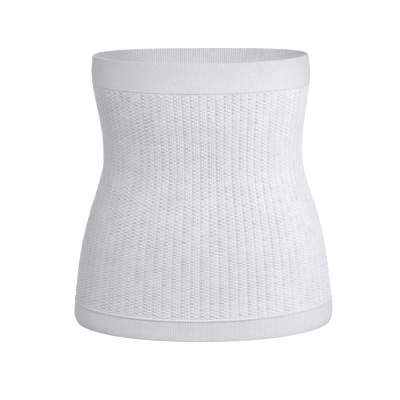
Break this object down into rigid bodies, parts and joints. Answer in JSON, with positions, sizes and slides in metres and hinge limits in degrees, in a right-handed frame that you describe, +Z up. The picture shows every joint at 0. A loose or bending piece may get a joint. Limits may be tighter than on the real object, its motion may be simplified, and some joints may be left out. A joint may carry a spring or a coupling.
{
  "type": "torso support belt",
  "caption": "Pull-on knitted torso support belt, shown worn: ribbed stretch tube from ribs to hips with a doubled band and raised ridge at each end.",
  "frame": {"origin": "on the wearer's axis at the narrowest height of the waist, where the belt sits on the body", "axes": "+Z up along the wearer's spine, +X to the right of a viewer who faces the front, -Y out of the front"},
  "size_m": [0.332, 0.2405, 0.34],
  "materials": {
    "band_knit": "fine one-by-one ribbed knit, matt, doubled",
    "rib_knit": "openwork ribbed stretch knit, matt",
    "ridge_knit": "tight raised knit row, matt"
  },
  "bodies": {
    "root": {"hem_band": "band_knit", "hem_ridge": "ridge_knit", "ribbed_tube": "rib_knit", "top_ridge": "ridge_knit", "top_band": "band_knit"}
  },
  "joints": []
}
